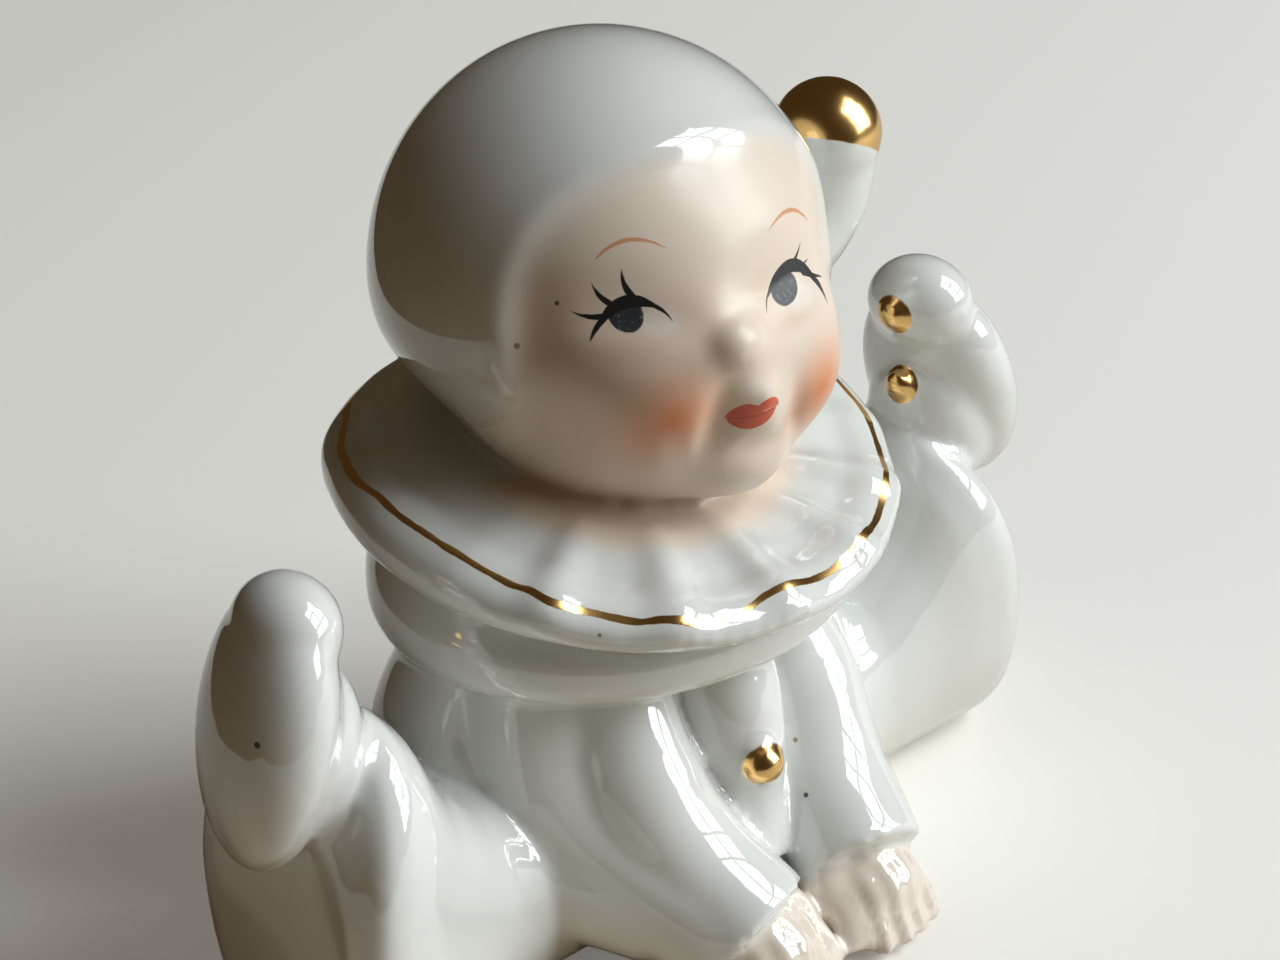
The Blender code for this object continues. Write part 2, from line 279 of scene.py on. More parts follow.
# %% [markdown]
# The pleats are a wave round the rim: broad rounded crests with narrow grooves between them, at uneven
# angles. The wave moves points up and down, and a little in and out. One nick on the near side is a
# fault of the real casting, and it stays.

# %% The pleats
RUFF_CENTRE = (0.0, 2.0, 47.3)
RUFF_TIP_FORWARD = 14.7
PLEAT_CRESTS = (
    *(-180, -152, -126, -100, -78, -58, -31, -6),
    *(20, 42, 64, 86, 108, 132, 156, 180),
)
PLEAT_HEIGHT = 0.85
PLEAT_REACH = 0.12
NICK_AT = -121.0
NICK_DEPTH = 0.5
BACK_STARTS = 16.0
RUFF_PLACE = Matrix.Translation(Vector(RUFF_CENTRE) * MM) @ Matrix.Rotation(
    math.radians(RUFF_TIP_FORWARD), 4, "X"
)


def pleat_wave(degrees):
    """1 on the crest of a pleat and -1 in the groove between two, at an angle from the front."""
    for low, high in zip(PLEAT_CRESTS, PLEAT_CRESTS[1:]):
        if degrees <= high:
            t = (degrees - low) / (high - low)
            return 2 * (0.5 + 0.5 * math.cos(math.tau * t)) ** 2.0 - 1
    return 1.0


def pleat_depth(degrees):
    """How deep the pleats are: full in front, faint at the sides and behind."""
    return 0.12 + 0.88 * eased((78.0 - abs(degrees + 4.0)) / 30.0)


def pleat(vertex):
    """Moves one point of the ruff: thinner in front, dished behind, and waved towards the edge."""
    x, y, h = vertex.co / MM
    radius = math.hypot(x, y)
    degrees = math.degrees(math.atan2(x, -y))
    behind = max(0.0, y - BACK_STARTS)
    if h < 0:
        vertex.co.z *= 1 + 0.36 * y / 26
    else:
        vertex.co.z -= 0.8 * eased(y / 14) * eased((25.5 - radius) / 5) * MM
    vertex.co.y -= 0.4 * behind * MM
    vertex.co.z -= 0.1 * behind * MM
    edge = max(0.0, min(1.0, (radius - 12.0) / 13.0))
    wave = pleat_wave(degrees) * edge * pleat_depth(degrees)
    vertex.co.x += PLEAT_REACH * wave * x / radius * MM
    vertex.co.y += PLEAT_REACH * wave * y / radius * MM
    if h > -4.5:
        nick = math.exp(-(((degrees - NICK_AT) / 3.5) ** 2)) * edge
        calm = 1 - 0.5 * eased((radius - 21.0) / 4.0)
        vertex.co.z += (PLEAT_HEIGHT * wave * calm - NICK_DEPTH * nick) * MM


# %% [markdown]
# Under the pleated layer lies a plain one, level and slightly oval, as a second collar would be. Both
# are spun from their own profiles. The upper one is pleated first and tipped forward afterwards.

# %% Both layers of the ruff
UNDER_RUFF_OVAL = 0.84
UNDER_RUFF_RISE = 0.035


def make_ruff():
    """The pleated top layer, tipped forward, and the plain level layer under it."""
    top = spun_ring(
        "ruff",
        (
            (9.0, -0.2),
            (14.0, 0.4),
            (20.0, 0.6),
            (25.4, 0.3),
            (26.9, -0.6),
            (27.5, -2.0),
            (27.3, -3.8),
            (26.4, -5.2),
            (23.6, -6.0),
            (15.0, -6.4),
            (9.0, -6.4),
        ),
    )
    for vertex in top.data.vertices:
        pleat(vertex)
    top.data.transform(RUFF_PLACE)
    under = spun_ring(
        "under_ruff",
        (
            (9.0, 6.0),
            (22.0, 5.4),
            (24.4, 3.4),
            (25.9, 0.6),
            (26.0, -2.0),
            (25.2, -4.0),
            (22.8, -5.2),
            (9.0, -6.0),
        ),
    )
    for vertex in under.data.vertices:
        vertex.co.z += UNDER_RUFF_RISE * max(0.0, vertex.co.z / MM) * vertex.co.y
    oval = Matrix.Diagonal((1.0, UNDER_RUFF_OVAL, 1.0, 1.0))
    put = Matrix.Translation(Vector((0, 1.8, 36.6)) * MM) @ Matrix.Rotation(math.radians(2.0), 4, "X")
    under.data.transform(put @ oval)
    return [top, under]


forms += make_ruff()
print("ruff", [len(f.data.vertices) for f in forms[-2:]], "points")

# %% [markdown]
# ## The blouse and sleeves
# The trunk hardly shows: between the two sleeves there is only a narrow bulge with one gold button. Each
# sleeve is oval in section, so three tubes side by side make it, from the front crest back to the elbow.

# %% Trunk and sleeves
CHEST_BUTTON = (-1.6, -18.3, 20.4)


def make_blouse():
    """The trunk, the seat, the bulge between the sleeves, and its button."""
    trunk = lump("trunk", (0, 2.4, 19.0), (16.5, 15.4, 24.0))
    seat = lump("seat", (0, 4.0, 7.5), (19.0, 15.0, 11.5))
    placket = tube(
        "placket",
        (
            (0.2, -4.4, 40.0, 4.8),
            (0.2, -8.4, 32.0, 5.0),
            (-0.1, -12.0, 26.0, 5.1),
            (-0.3, -13.9, 20.5, 4.6),
            (0.0, -15.0, 14.0, 3.4),
            (0.0, -17.4, 8.6, 2.4),
        ),
    )
    button = lump("chest_button", CHEST_BUTTON, (2.1, 2.0, 2.0), segments=32)
    return [trunk, seat, placket, button]


def make_sleeve(side):
    """Three tubes side by side, which melt into one wide oval sleeve."""
    front = (
        (side * 10.6, -3.4, 40.0, 5.6),
        (side * 10.6, -7.4, 27.0, 5.7),
        (side * 11.2, -10.8, 20.0, 6.3),
        (side * 9.6, -15.4, 12.2, 6.6),
        (side * 7.5, -22.2, 6.5, 6.8),
    )
    middle = (
        (side * 13.0, 0.0, 39.0, 6.6),
        (side * 14.6, -1.6, 27.0, 7.6),
        (side * 15.0, -4.0, 19.0, 8.0),
        (side * 12.2, -11.6, 12.0, 7.2),
        (side * 9.0, -20.6, 6.8, 6.4),
    )
    elbow = (
        (side * 13.0, 3.2, 39.0, 6.4),
        (side * 16.6, 4.8, 29.0, 7.4),
        (side * 18.8, 4.6, 20.0, 8.8),
        (side * 16.6, -4.0, 12.8, 7.8),
        (side * 11.4, -15.6, 8.4, 6.4),
    )
    return [
        tube("sleeve_front", front),
        tube("sleeve_middle", middle),
        tube("sleeve_elbow", elbow),
    ]


forms += make_blouse()
for side in (-1, 1):
    forms += make_sleeve(side)
print("blouse and sleeves,", len(forms), "forms so far")

# %% [markdown]
# The hands rest palm down in front, four stubby fingers each, as soft as the glaze leaves them. A
# finger is a short tube that bends over the knuckle and ends on the ground.

# %% Hands
FIRST_FINGER = 4.0
FINGER_STEP = 2.35


def make_hand(side):
    """A palm, a thumb and four fingers, the same on both sides."""
    parts = [
        lump("palm", (side * 7.2, -24.0, 5.0), (5.2, 4.8, 4.3)),
        lump("thumb_root", (side * 3.2, -22.4, 5.0), (3.4, 3.6, 3.6)),
        tube(
            "thumb",
            (
                (side * 3.6, -22.6, 6.4, 2.0),
                (side * 2.2, -25.6, 4.0, 1.8),
                (side * 1.5, -27.4, 1.6, 1.5),
            ),
        ),
    ]
    for i in range(4):
        spread = side * (FIRST_FINGER + FINGER_STEP * i)
        reach = -29.4 + 0.4 * abs(i - 1.2)
        stations = (
            (side * 7.2 + (spread - side * 7.2) * 0.75, -24.2, 6.9, 1.6),
            (spread, reach + 2.0, 4.3, 1.35),
            (spread + side * 0.2, reach, 0.8, 1.25),
        )
        parts.append(tube("finger", stations))
    return parts


for side in (-1, 1):
    forms += make_hand(side)
print("hands,", len(forms), "forms so far")

# %% [markdown]
# ## Legs and shoes
# A trouser leg is a loft: a circle that is extruded again and again along X, each new ring given its own
# front, back and height. It flares to a wide hem that leans in at the top, and the shoe stands on it.

# %% Trouser legs
LEG_SQUARENESS = 2.5
HEM_LEAN = 0.012
FOOTPRINT_CUT = 0.8
LEG_SLICES = (
    (0.0, -11.0, 14.0, 18.0),
    (12.0, -11.4, 13.0, 20.0),
    (20.0, -10.6, 11.0, 19.6),
    (26.0, -10.6, 10.8, 22.0),
    (32.0, -11.6, 11.6, 27.5),
    (37.0, -12.8, 12.4, 33.0),
    (41.0, -13.4, 13.0, 36.0),
    (43.6, -13.2, 13.0, 35.4),
    (44.8, -11.6, 11.6, 32.0),
    (45.2, -9.6, 9.6, 29.0),
)
RING_POINTS = 64
LEG_RINGS = 46


def slice_at(reach):
    """Front, back and height of the leg at a distance from the middle, between slices."""
    for low, high in zip(LEG_SLICES, LEG_SLICES[1:]):
        if reach <= high[0]:
            t = (reach - low[0]) / (high[0] - low[0])
            return [a + (b - a) * t for a, b in zip(low[1:], high[1:])]
    return LEG_SLICES[-1][1:]


def leg_ring(side, reach, i):
    """Point i of the leg's outline at a distance from the middle, in metres."""
    front, back, height = slice_at(reach)
    angle = math.tau * i / RING_POINTS
    across = math.copysign(abs(math.cos(angle)) ** (2 / LEG_SQUARENESS), math.cos(angle))
    up = math.copysign(abs(math.sin(angle)) ** (2 / LEG_SQUARENESS), math.sin(angle))
    top = (1 + up) * (height + FOOTPRINT_CUT) / 2 - FOOTPRINT_CUT
    lean_in = HEM_LEAN * max(0.0, top - 15.0) ** 2 * eased((reach - 16.0) / 22.0)
    y = (front + back) / 2 + across * (back - front) / 2
    return Vector((side * (reach - lean_in), y, top)) * MM


def make_leg(side):
    """A loft from the middle out to the hem, extruded ring by ring."""
    deselect()
    bpy.ops.mesh.primitive_circle_add(vertices=RING_POINTS, radius=MM, fill_type="NGON")
    form = bpy.context.object
    form.name = "trouser_leg"
    bpy.ops.object.mode_set(mode="EDIT")
    for k in range(LEG_RINGS):
        reach = LEG_SLICES[-1][0] * k / (LEG_RINGS - 1)
        if k:
            bpy.ops.mesh.extrude_region_move()
        cage = bmesh.from_edit_mesh(form.data)
        face = next(f for f in cage.faces if f.select)
        for i, corner in enumerate(face.verts):
            corner.co = leg_ring(side, reach, i)
        bmesh.update_edit_mesh(form.data)
    bpy.ops.object.mode_set(mode="OBJECT")
    close_up(form)
    return form


for side in (-1, 1):
    forms.append(make_leg(side))
print("leg", len(forms[-1].data.vertices), "points")

# %% [markdown]
# A shoe is a soft slipper with a curled toe: three lumps, and two buttons that will be gilded. It
# stands on its heel on the hem, sole outwards, and leans in, the left one more than the right. The
# middles of the buttons are kept, because the gold is laid by the distance from them.

# %% Shoes
TOES_OUT = 12.0
shoe_buttons = []


def middle_of(part, put):
    """The middle of a part once it is put in place, in mm."""
    points = [put @ v.co for v in part.data.vertices]
    return sum(points, Vector()) / len(points) / MM


def make_shoe(side, centre, lean, toe_height, button_up, button_back):
    """A soft shoe standing on its heel, sole outwards, with a curled toe and two buttons."""
    parts = [
        lump("shoe", (0, 0, 0), (5.4, 8.4, 13.6)),
        lump("toe", (-side * 0.6, 0, toe_height), (4.7, 5.6, 4.8)),
        lump("instep", (-side * 3.4, 0, -2.6), (5.2, 6.6, 9.0)),
    ]
    for height, out in ((toe_height + button_up, 5.0), (toe_height - 6.5, 6.7)):
        at = (-side * out, button_back, height)
        parts.append(lump("shoe_button", at, (1.2, 1.6, 1.8), segments=24))
    turn = Matrix.Rotation(math.radians(side * TOES_OUT), 4, "Z") @ Matrix.Rotation(
        math.radians(-side * lean), 4, "Y"
    )
    put = Matrix.Translation(Vector(centre) * MM) @ turn
    for part in parts:
        if part.name.startswith("shoe_button"):
            shoe_buttons.append(middle_of(part, put))
        part.data.transform(put)
    return parts


forms += make_shoe(-1, (-44.6, -0.6, 37.0), 12.0, 9.4, button_up=-1.5, button_back=3.0)
forms += make_shoe(1, (44.0, -1.0, 38.6), 22.0, 11.6, button_up=1.8, button_back=0.6)
print(len(forms), "forms before melting")

# %% [markdown]
# ## One skin
# Slip fills a mould and comes out as one skin, and the glaze then softens every corner. A voxel remesh
# melts the forms together the same way, and a smooth modifier rounds what is left. A fine grain keeps
# the fingers and the nose apart.

# %% Melt the forms together
GRAIN = 0.58 * MM
SOFTENING_STEPS = 9


def apply(form, name):
    """Applies one modifier of a form."""
    bpy.context.view_layer.objects.active = form
    bpy.ops.object.modifier_apply(modifier=name)


deselect()
for form in forms:
    form.select_set(True)
bpy.context.view_layer.objects.active = forms[0]
bpy.ops.object.join()
pierrot = bpy.context.object
pierrot.name = pierrot.data.name = "glazed_pierrot"
melt = pierrot.modifiers.new("melt", "REMESH")
melt.mode = "VOXEL"
melt.voxel_size = GRAIN
melt.use_smooth_shade = True
apply(pierrot, "melt")
soften = pierrot.modifiers.new("soften", "SMOOTH")
soften.factor = 0.5
soften.iterations = SOFTENING_STEPS
apply(pierrot, "soften")
print("one skin,", len(pierrot.data.polygons), "faces")

# %% [markdown]
# A real casting is rubbed level on its underside before it is fired, so that it stands flat. A bisect
# at the height of the table cuts away what hangs below and fills the cut.

# %% Cut the underside level
deselect()
pierrot.select_set(True)
bpy.context.view_layer.objects.active = pierrot
bpy.ops.object.mode_set(mode="EDIT")
bpy.ops.mesh.select_all(action="SELECT")
bpy.ops.mesh.bisect(
    plane_co=(0, 0, 0), plane_no=(0, 0, 1), use_fill=True, clear_inner=True, threshold=0.000001
)
bpy.ops.mesh.select_all(action="DESELECT")
bpy.ops.object.mode_set(mode="OBJECT")
bpy.ops.object.shade_smooth_by_angle(angle=math.radians(60))
print("after the cut,", len(pierrot.data.polygons), "faces")

# %% [markdown]
# The slip and the glaze have filled the fingers almost level. What shows is a shallow groove between
# two fingers, so the grooves are pressed in after the softening.

# %% Press in the fingers' grooves
GROOVE_DEPTH = 0.24
pressed = 0
for vertex in pierrot.data.vertices:
    x, y, z = vertex.co / MM
    across = (abs(x) - FIRST_FINGER) / FINGER_STEP
    if z < 9.0 and y < -23.0 and -0.5 < across < 3.5:
        groove = 0.5 - 0.5 * math.cos(math.tau * across)
        depth = GROOVE_DEPTH * groove * eased((-24.5 - y) / 2.5) * eased(z / 0.8)
        vertex.co -= vertex.normal * depth * MM
        pressed += 1
print("grooves on", pressed, "points")

# %% [markdown]
# ## Where the paint goes
# Skin colour, gilding and the line round the ruff follow forms, so their borders are stored on the
# mesh's points as distances in mm. The shader reads them and draws the edge as fine as it likes, where
# a mask of 0 and 1 on the points would show every triangle's corner along the border.

# %% Gilded places
SHOE_BUTTON_RADIUS = 2.0
CHEST_BUTTON_RADIUS = 2.15
BALL_GOLD_UP = Vector((0.434, 0.225, 0.873))
BALL_GOLD_EDGE = -1.3
GILDING_REACH = 0.8
NOT_GILDED = -3.0


def gold_depth(point):
    """How far inside a gilded place a point lies, in mm; outside it is below 0."""
    depth = NOT_GILDED
    from_ball = point - Vector(BALL_CENTRE)
    if from_ball.length < BALL_RADIUS + GILDING_REACH:
        depth = from_ball.dot(BALL_GOLD_UP) - BALL_GOLD_EDGE
    depth = max(depth, CHEST_BUTTON_RADIUS - (point - Vector(CHEST_BUTTON)).length)
    for place in shoe_buttons:
        depth = max(depth, SHOE_BUTTON_RADIUS - (point - place).length)
    return depth


# %% [markdown]
# The skin colour covers the face, inside the hood's opening, and the hands, out of the cuffs. Each
# border is the one that the form already has: the hood's step, the plane of the cuff, the neck's foot.
# Round the neck it also runs a little onto the ruff: partly skin paint that spilled there, partly
# painted shade in the crease under the jaw.

# %% Skin-coloured places
CUFF_MIDDLE = (7.5, -22.2, 6.5)
CUFF_OUT = Vector((0.23, 0.747, 0.626))
HANDS_BELOW = 20.0
HAND_TINT = 0.8
FACE_REACH = 29.0
NECK_REACH = 18.5
HEAD_BACK = HEAD_PLACE.inverted()
RUFF_BACK = RUFF_PLACE.inverted()


def skin_amount(point):
    """1 on the face and the hands and 0 on the clothes."""
    side = 1 if point.x > 0 else -1
    past_cuff = (point - Vector((side * CUFF_MIDDLE[0], *CUFF_MIDDLE[1:]))).dot(
        Vector((-side * CUFF_OUT.x, -CUFF_OUT.y, -CUFF_OUT.z))
    )
    if point.z < HANDS_BELOW:
        return HAND_TINT * eased((past_cuff - 0.1) / 0.6)
    local = HEAD_BACK @ (point * MM) / MM
    if local.y > 0 or local.length > FACE_REACH:
        return 0.0
    from_ruff = RUFF_BACK @ (point * MM) / MM
    # Round the neck the skin colour runs onto the ruff: partly spilled skin paint, partly painted shade
    # in the crease under the jaw.
    neck_spill_and_shade = eased((NECK_REACH - math.hypot(from_ruff.x, from_ruff.y)) / 3.0)
    clear = max(eased((from_ruff.z - 0.8) / 1.4), neck_spill_and_shade * eased((from_ruff.z + 0.8) / 1.0))
    return (1 - hood_step(local.x, local.z)) * clear * eased(-local.y / 3.0)


# %% [markdown]
# A gold line runs round the ruff's upper face, near its edge. It was drawn by hand on a turning wheel,
# so its distance from the middle wanders over the pleats. The table holds what it does at some angles.

# %% The line round the ruff
LINE_RADII = (
    (-180, 24.6),
    (-145, 24.9),
    (-129, 25.3),
    (-118, 26.2),
    (-110, 26.2),
    (-100, 25.4),
    (-85, 24.9),
    (-71, 25.0),
    (-63, 25.2),
    (-57, 26.0),
    (-48, 25.6),
    (-37, 26.0),
    (-27, 26.5),
    (-20, 25.8),
    (-11, 24.9),
    (1, 25.2),
    (12, 25.4),
    (30, 25.6),
    (46, 25.7),
    (60, 25.5),
    (90, 25.2),
    (135, 24.7),
    (180, 24.6),
)


def line_radius(degrees):
    """How far from the ruff's middle the gold line runs, at an angle from the front."""
    for low, high in zip(LINE_RADII, LINE_RADII[1:]):
        if degrees <= high[0]:
            t = eased((degrees - low[0]) / (high[0] - low[0]))
            return low[1] + (high[1] - low[1]) * t
    return LINE_RADII[-1][1]


def line_distance(point):
    """Signed distance in mm from the cylinder in which the ruff's gold line runs."""
    local = RUFF_BACK @ (point * MM) / MM
    degrees = math.degrees(math.atan2(local.x, -local.y))
    return max(-4.0, min(4.0, math.hypot(local.x, local.y) - line_radius(degrees)))


def on_ruff_top(point, normal):
    """1 on the upper face of the ruff, the only place where the gold line may show."""
    local = RUFF_BACK @ (point * MM) / MM
    facing = normal.dot(RUFF_PLACE.to_3x3() @ Vector((0, 0, 1)))
    near_rim = 22.0 < math.hypot(local.x, local.y) < 29.0
    return 1.0 if near_rim and -3.0 < local.z < 3.0 and facing > 0.3 else 0.0


# %% [markdown]
# Now each point of the skin gets its four values, as attributes that the material can read.

# %% Store them on the points
names = ("gold_depth", "skin", "line_distance", "line_zone")
gold, skin, line, zone = (pierrot.data.attributes.new(n, "FLOAT", "POINT") for n in names)
for vertex in pierrot.data.vertices:
    point = vertex.co / MM
    gold.data[vertex.index].value = gold_depth(point)
    skin.data[vertex.index].value = skin_amount(point)
    line.data[vertex.index].value = line_distance(point)
    zone.data[vertex.index].value = on_ruff_top(point, vertex.normal)
print("attributes", [a.name for a in pierrot.data.attributes])

# %% [markdown]
# ## Brushes as node groups
# The painter used one fine brush. A stroke is a slim leaf along a bent line: full in the middle or at
# its root, and a hair at its tip. One group makes every lash, lid, brow and lip from its own place, turn
# and size, and a second one makes the round spots: irises, blush and the changes in the skin colour.


# %% Node helpers
def add(tree, kind, label="", **settings):
    """A new node with its label and its settings."""
    node = tree.nodes.new(kind)
    node.label = label
    for name, value in settings.items():
        setattr(node, name, value)
    return node


def arithmetic(tree, operation, a, b=None, c=None, clamp=False):
    """A Math node fed by sockets or numbers; gives its output."""
    node = add(tree, "ShaderNodeMath", operation=operation, use_clamp=clamp)
    for socket, value in zip(node.inputs, (a, b, c)):
        if value is None:
            continue
        if isinstance(value, bpy.types.NodeSocket):
            tree.links.new(value, socket)
        else:
            socket.default_value = value
    return node.outputs[0]


def new_group(name, inputs, outputs):
    """An empty node group; inputs and outputs are (name, socket type, default) rows."""
    group = bpy.data.node_groups.new(name, "ShaderNodeTree")
    for socket_name, kind, default in inputs:
        socket = group.interface.new_socket(socket_name, in_out="INPUT", socket_type=kind)
        if default is not None:
            socket.default_value = default
    for socket_name, kind in outputs:
        group.interface.new_socket(socket_name, in_out="OUTPUT", socket_type=kind)
    return group, add(group, "NodeGroupInput"), add(group, "NodeGroupOutput")


# %% [markdown]
# In a stroke's own coordinates X runs along it and Y across it. Where the distance from its bent middle
# line is less than its width there, paint lies; the edge is a steep ramp, so that it isn't jagged.

# %% The brush stroke
STROKE_EDGE = 16.0


def make_stroke_group():
    """Stroke coordinates in; 1 inside the leaf-shaped stroke and 0 outside it."""
    group, entry, leave = new_group(
        "brush_stroke",
        (
            ("Place", "NodeSocketVector", None),
            ("Half Length", "NodeSocketFloat", 1.0),
            ("Half Width", "NodeSocketFloat", 0.2),
            ("Bend", "NodeSocketFloat", 0.0),
            ("Taper", "NodeSocketFloat", 0.0),
        ),
        (("Paint", "NodeSocketFloat"),),
    )
    split = add(group, "ShaderNodeSeparateXYZ")
    group.links.new(entry.outputs["Place"], split.inputs[0])
    along = arithmetic(group, "DIVIDE", split.outputs["X"], entry.outputs["Half Length"])
    inside = arithmetic(group, "SUBTRACT", 1.0, arithmetic(group, "MULTIPLY", along, along))
    arc = arithmetic(group, "MULTIPLY", entry.outputs["Bend"], inside)
    across = arithmetic(group, "ABSOLUTE", arithmetic(group, "SUBTRACT", split.outputs["Y"], arc))
    leaf = arithmetic(group, "SQRT", arithmetic(group, "MAXIMUM", inside, 0.0))
    narrowing = arithmetic(group, "MULTIPLY", entry.outputs["Taper"], -1.0)
    slim = arithmetic(group, "MULTIPLY_ADD", along, narrowing, 1.0)
    fullness = arithmetic(group, "MULTIPLY", leaf, slim)
    width = arithmetic(group, "MULTIPLY", entry.outputs["Half Width"], fullness)
    edge = arithmetic(group, "SUBTRACT", width, across)
    paint = arithmetic(group, "MULTIPLY_ADD", edge, STROKE_EDGE, 0.5, clamp=True)
    shown = arithmetic(group, "MULTIPLY", paint, arithmetic(group, "GREATER_THAN", inside, 0.0))
    group.links.new(shown, leave.inputs["Paint"])
    return group


stroke_group = make_stroke_group()
print("brush_stroke has", len(stroke_group.nodes), "nodes")

# %% [markdown]
# A spot is round in its own coordinates and as large as its Mapping makes it. The same group gives the
# powdery blush and the hard-edged iris, by its Hardness.


# %% The round spot
def make_spot_group():
    """Spot coordinates in, the radius being 1; Hardness runs from powder, 1, to ink, 20."""
    group, entry, leave = new_group(
        "round_spot",
        (("Place", "NodeSocketVector", None), ("Hardness", "NodeSocketFloat", 1.0)),
        (("Paint", "NodeSocketFloat"),),
    )
    length = add(group, "ShaderNodeVectorMath", operation="LENGTH")
    group.links.new(entry.outputs["Place"], length.inputs[0])
    inside = arithmetic(group, "SUBTRACT", 1.0, length.outputs["Value"])
    ramp = arithmetic(group, "MULTIPLY", inside, entry.outputs["Hardness"], clamp=True)
    soft = arithmetic(group, "SMOOTH_MIN", ramp, 1.0, 0.4)
    eased_in = arithmetic(group, "MULTIPLY", soft, arithmetic(group, "SUBTRACT", 2.0, soft), clamp=True)
    paint = arithmetic(group, "MULTIPLY", eased_in, ramp, clamp=True)
    group.links.new(paint, leave.inputs["Paint"])
    return group


spot_group = make_spot_group()
print("round_spot has", len(spot_group.nodes), "nodes")

# %% [markdown]
# ## The painted face
# Strokes are listed by their start, middle and end on the flat picture of the face, in mm from the
# head's middle. The doll looks up to its left: big dark irises high in the eye, a thick upper lid, and
# a few flicked lashes. Brows and mouth are in orange-red enamel, the blush is dusted on.

# %% Strokes of the face: start, middle, end, half width, taper
LASH_STROKES = (
    ((-10.1, 1.6), (-7.9, 2.85), (-5.8, 2.2), 0.60, 0.0),
    ((-6.8, 2.55), (-5.6, 1.95), (-4.8, 0.75), 0.16, 0.5),
    ((-9.0, 1.95), (-10.8, 1.85), (-12.2, 2.5), 0.24, 0.75),
    ((-8.5, 2.4), (-9.75, 3.3), (-10.45, 4.85), 0.22, 0.75),
    ((-7.1, 2.7), (-7.95, 4.1), (-8.1, 5.75), 0.25, 0.75),
    ((-9.3, 2.0), (-10.5, 1.0), (-11.3, -0.2), 0.21, 0.6),
    ((5.0, 0.5), (8.2, 2.1), (11.8, -0.3), 0.62, 0.0),
    ((11.0, 0.5), (12.3, -1.0), (13.1, -2.9), 0.22, 0.7),
    ((7.6, 1.5), (9.3, 2.4), (10.4, 3.65), 0.20, 0.7),
    ((8.9, 1.5), (10.2, 1.6), (11.3, 1.85), 0.16, 0.7),
    ((9.9, 1.0), (11.6, 0.25), (13.2, -0.5), 0.18, 0.7),
    ((5.4, 0.9), (4.7, 0.2), (4.3, -0.7), 0.08, 0.4),
)
BROW_STROKES = (
    ((-9.9, 6.65), (-7.4, 7.95), (-4.2, 6.85), 0.17, 0.1),
    ((6.2, 5.95), (9.2, 6.75), (12.3, 4.75), 0.18, 0.0),
)
LIP_STROKES = (
    ((-0.35, -9.2), (0.8, -8.55), (2.5, -8.95), 0.60, 0.0),
    ((1.7, -8.9), (3.05, -8.3), (4.6, -8.85), 0.58, 0.1),
    ((-0.2, -9.25), (1.9, -9.8), (4.2, -9.1), 0.82, 0.15),
)
LIP_LINE = (((-0.1, -9.25), (2.0, -9.35), (4.3, -8.95), 0.09, 0.0),)

# %% [markdown]
# Irises and blush are spots, and so are the painted shade and the painted highlights. The skin is
# painted tanner in the creases and round the nose and eyes: partly a brown tint, partly painted shade.
# It is painted paler beside the irises and on the upper lip, as painted highlights.

# %% Spots of the face: across, up, and the two radii
IRISES = ((-8.2, 1.7, 1.4, 1.5), (7.3, 0.5, 1.85, 1.45))
BLUSHES = ((-5.6, -8.2, 7.2, 8.0), (11.6, -10.2, 6.6, 7.8))
# Painted shade: tan spots in the creases and round the nose and eyes, partly a brown tint of the paint.
CREASE_SHADE_SPOTS = (
    (-2.6, 0.6, 4.2, 4.6),
    (-9.0, -0.6, 5.0, 4.0),
    (4.6, 0.8, 2.6, 3.4),
    (-1.6, -8.5, 2.2, 6.0),
    (7.2, -11.6, 2.0, 4.6),
    (8.0, -2.4, 4.4, 1.5),
)
# Painted highlights: pale spots beside the irises and on the upper lip.
HIGHLIGHT_SPOTS = ((-5.9, 0.9, 2.2, 1.6), (9.3, -0.9, 2.4, 1.6), (1.6, -6.6, 1.7, 1.4))

# %% [markdown]
# The strokes need a flat picture to lie on. A Mapping node turns the Object coordinates into the head's
# own, in mm, and its X and Z are the picture. A little noise is added, as from an unsteady hand.

# %% Flat picture of the face
glaze = bpy.data.materials.new("glazed_porcelain")
glaze.use_nodes = True
tree = glaze.node_tree
shader = tree.nodes["Principled BSDF"]
place = add(tree, "ShaderNodeTexCoord", "where")
to_head = add(tree, "ShaderNodeMapping", "head's own coordinates", vector_type="TEXTURE")
to_head.inputs["Location"].default_value = Vector(HEAD_CENTRE) * MM
to_head.inputs["Rotation"].default_value = HEAD_TURN.to_euler()
to_head.inputs["Scale"].default_value = (MM, MM, MM)
tree.links.new(place.outputs["Object"], to_head.inputs["Vector"])
head_axes = add(tree, "ShaderNodeSeparateXYZ")
tree.links.new(to_head.outputs[0], head_axes.inputs[0])
wobble = add(tree, "ShaderNodeTexNoise", "unsteady hand")
wobble.inputs["Scale"].default_value = 1.4
wobble.inputs["Detail"].default_value = 3.0
tree.links.new(to_head.outputs[0], wobble.inputs["Vector"])
unsteady = arithmetic(tree, "MULTIPLY_ADD", wobble.outputs["Fac"], 0.12, -0.06)
picture = add(tree, "ShaderNodeCombineXYZ", "picture of the face")
tree.links.new(arithmetic(tree, "ADD", head_axes.outputs["X"], unsteady), picture.inputs["X"])
tree.links.new(arithmetic(tree, "ADD", head_axes.outputs["Z"], unsteady), picture.inputs["Y"])
in_front = arithmetic(tree, "LESS_THAN", head_axes.outputs["Y"], -8.0)
skin_attribute = add(tree, "ShaderNodeAttribute", "skin", attribute_name="skin")
gold_attribute = add(tree, "ShaderNodeAttribute", "gold", attribute_name="gold_depth")
line_attribute = add(tree, "ShaderNodeAttribute", "line", attribute_name="line_distance")
zone_attribute = add(tree, "ShaderNodeAttribute", "zone", attribute_name="line_zone")
skin_mask = skin_attribute.outputs["Fac"]
face_mask = arithmetic(tree, "MULTIPLY", in_front, arithmetic(tree, "GREATER_THAN", skin_mask, 0.02))


# %% [markdown]
# Each row of the tables becomes one Mapping and one group node. The strongest paint wins where strokes
# of one colour cross, so that they join without a seam.


